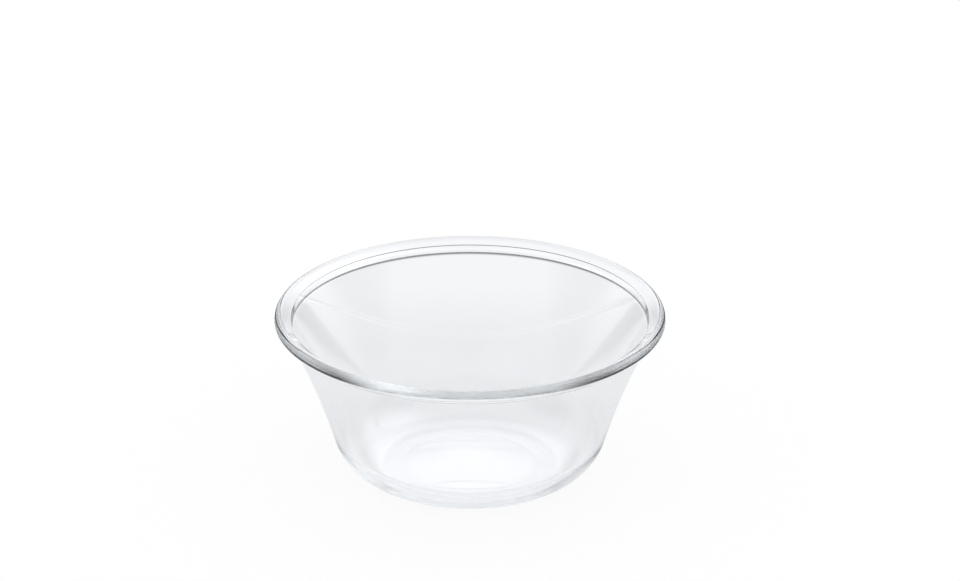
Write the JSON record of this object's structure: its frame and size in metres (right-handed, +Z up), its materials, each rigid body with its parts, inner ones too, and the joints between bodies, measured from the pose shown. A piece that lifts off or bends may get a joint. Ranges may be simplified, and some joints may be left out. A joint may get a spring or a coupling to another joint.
{
  "type": "prep bowl",
  "caption": "Round clear glass prep bowl with a flat foot, rounded bottom corner, gently flared wall and a flat lip that slopes up and out, for holding measured or chopped ingredients.",
  "frame": {"origin": "middle of the base, on the surface that the bowl stands on", "axes": "+Z up along the bowl's axis of revolution; X and Y are free, because the bowl is round"},
  "size_m": [0.105, 0.105, 0.0462],
  "materials": {
    "clear_glass": "clear pressed glass, fire-polished and smooth all over"
  },
  "bodies": {
    "root": {"bowl": "clear_glass"}
  },
  "joints": []
}
